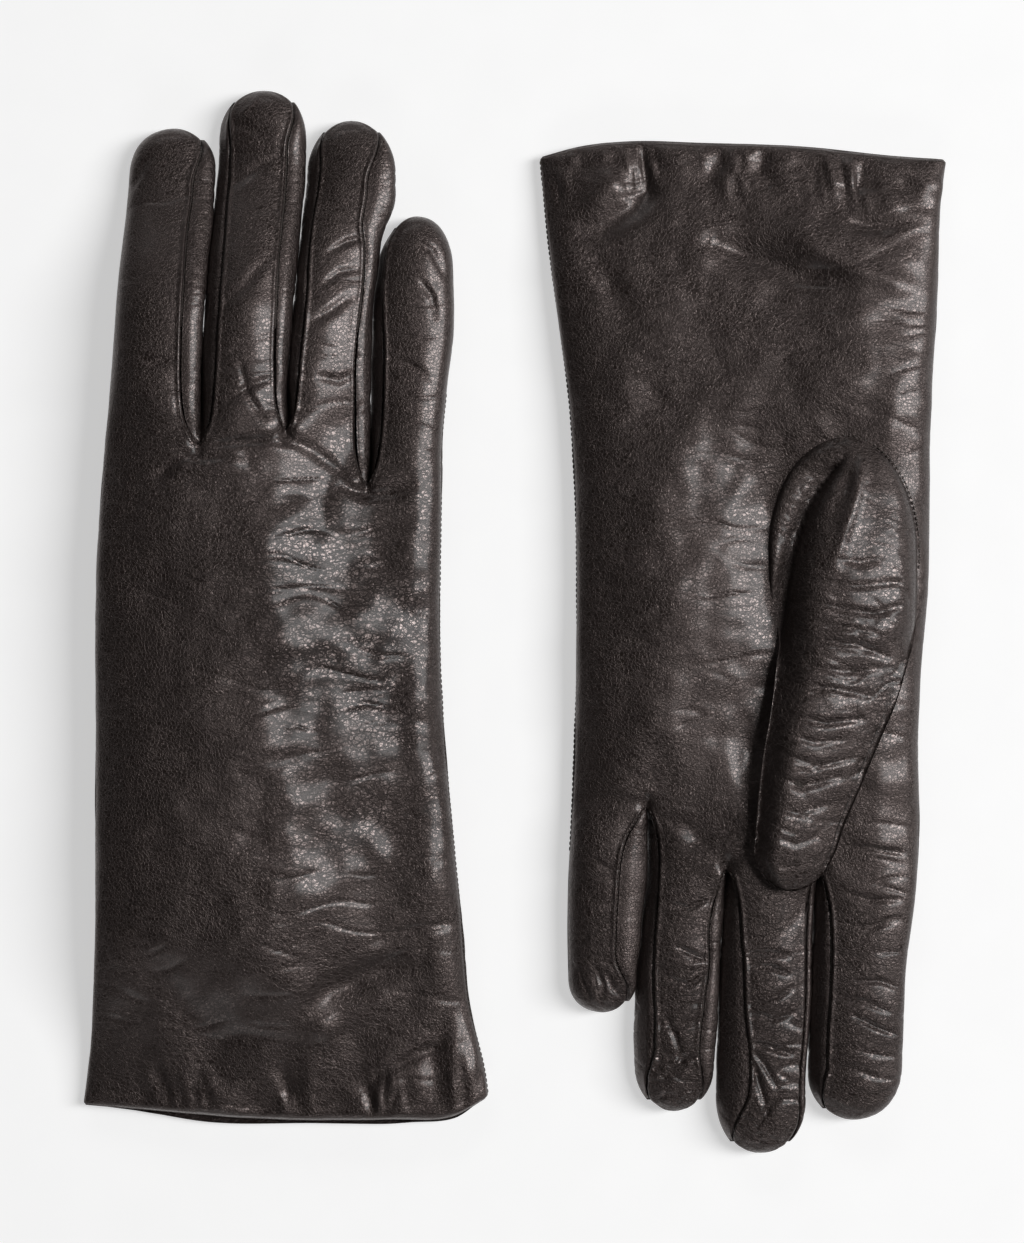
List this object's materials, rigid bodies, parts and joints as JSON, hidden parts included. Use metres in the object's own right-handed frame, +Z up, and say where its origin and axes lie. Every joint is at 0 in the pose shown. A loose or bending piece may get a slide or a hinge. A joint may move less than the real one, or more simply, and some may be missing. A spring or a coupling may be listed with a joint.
{
  "type": "leather gloves",
  "caption": "Pair of lined nappa leather dress gloves laid flat, one back up and one palm up, with set-in thumbs, fourchettes and fingers that fold.",
  "frame": {"origin": "middle of the pair's footprint on the table", "axes": "+X from the right-hand glove to the left-hand glove, +Y along the right-hand glove from its cuff to its fingertips, +Z up from the table"},
  "size_m": [0.2237, 0.2766, 0.0224],
  "materials": {
    "leather": "semi-gloss grained nappa, espresso brown-black",
    "leather_fold": "semi-gloss nappa, a little darker in the folds",
    "lining": "fine dark knit",
    "thread": "waxed sewing thread"
  },
  "bodies": {
    "right_hand": {"right_hand_back": "leather", "right_hand_palm": "leather", "right_fourchette_bases": "leather_fold", "right_cuff_hem": "leather_fold", "right_hand_lining": "lining", "right_side_seam_thread": "thread", "right_thumb_seam_thread": "thread", "right_thumb_base": "leather"},
    "right_index": {"right_index_back": "leather", "right_index_palm": "leather", "right_index_lining": "lining", "right_index_fourchette": "leather_fold"},
    "right_middle": {"right_middle_back": "leather", "right_middle_palm": "leather", "right_middle_lining": "lining", "right_middle_fourchette_index_side": "leather_fold", "right_middle_fourchette_ring_side": "leather_fold"},
    "right_ring": {"right_ring_back": "leather", "right_ring_palm": "leather", "right_ring_lining": "lining", "right_ring_fourchette_middle_side": "leather_fold", "right_ring_fourchette_little_side": "leather_fold"},
    "right_little": {"right_little_back": "leather", "right_little_palm": "leather", "right_little_lining": "lining", "right_little_fourchette": "leather_fold"},
    "right_thumb": {"right_thumb_stall": "leather", "right_thumb_lining": "lining"},
    "left_hand": {"left_hand_back": "leather", "left_hand_palm": "leather", "left_fourchette_bases": "leather_fold", "left_cuff_hem": "leather_fold", "left_hand_lining": "lining", "left_side_seam_thread": "thread", "left_thumb_seam_thread": "thread", "left_thumb_base": "leather"},
    "left_index": {"left_index_back": "leather", "left_index_palm": "leather", "left_index_lining": "lining", "left_index_fourchette": "leather_fold"},
    "left_middle": {"left_middle_back": "leather", "left_middle_palm": "leather", "left_middle_lining": "lining", "left_middle_fourchette_index_side": "leather_fold", "left_middle_fourchette_ring_side": "leather_fold"},
    "left_ring": {"left_ring_back": "leather", "left_ring_palm": "leather", "left_ring_lining": "lining", "left_ring_fourchette_middle_side": "leather_fold", "left_ring_fourchette_little_side": "leather_fold"},
    "left_little": {"left_little_back": "leather", "left_little_palm": "leather", "left_little_lining": "lining", "left_little_fourchette": "leather_fold"},
    "left_thumb": {"left_thumb_stall": "leather", "left_thumb_lining": "lining"}
  },
  "joints": [
    {"name": "left_glove_lift", "type": "slide", "parent": "right_hand", "child": "left_hand", "axis": [0, 0, 1], "range_m": [0, 0.08]},
    {"name": "right_index_fold", "type": "hinge", "parent": "right_hand", "child": "right_index", "pos_m": [-0.09127, 0.076, 0.0212], "axis": [1, 0, 0], "range_deg": [0, 60]},
    {"name": "right_middle_fold", "type": "hinge", "parent": "right_hand", "child": "right_middle", "pos_m": [-0.0671, 0.076, 0.0212], "axis": [1, 0, 0], "range_deg": [0, 60]},
    {"name": "right_ring_fold", "type": "hinge", "parent": "right_hand", "child": "right_ring", "pos_m": [-0.04492, 0.076, 0.02087], "axis": [1, 0, 0], "range_deg": [0, 60]},
    {"name": "right_little_fold", "type": "hinge", "parent": "right_hand", "child": "right_little", "pos_m": [-0.02497, 0.061, 0.01288], "axis": [1, 0, 0], "range_deg": [0, 60]},
    {"name": "right_thumb_swing", "type": "hinge", "parent": "right_hand", "child": "right_thumb", "pos_m": [-0.087, -0.006, 0.0045], "axis": [0, 0, 1], "range_deg": [0, 45]},
    {"name": "left_index_fold", "type": "hinge", "parent": "left_hand", "child": "left_index", "pos_m": [0.09127, -0.076, 0.0118], "axis": [-1, 0, 0], "range_deg": [0, 60]},
    {"name": "left_middle_fold", "type": "hinge", "parent": "left_hand", "child": "left_middle", "pos_m": [0.0671, -0.076, 0.0118], "axis": [-1, 0, 0], "range_deg": [0, 60]},
    {"name": "left_ring_fold", "type": "hinge", "parent": "left_hand", "child": "left_ring", "pos_m": [0.04492, -0.076, 0.0118], "axis": [-1, 0, 0], "range_deg": [0, 60]},
    {"name": "left_little_fold", "type": "hinge", "parent": "left_hand", "child": "left_little", "pos_m": [0.02497, -0.061, 0.01192], "axis": [-1, 0, 0], "range_deg": [0, 60]},
    {"name": "left_thumb_swing", "type": "hinge", "parent": "left_hand", "child": "left_thumb", "pos_m": [0.087, 0.006, 0.0179], "axis": [0, 0, 1], "range_deg": [0, 45]}
  ]
}
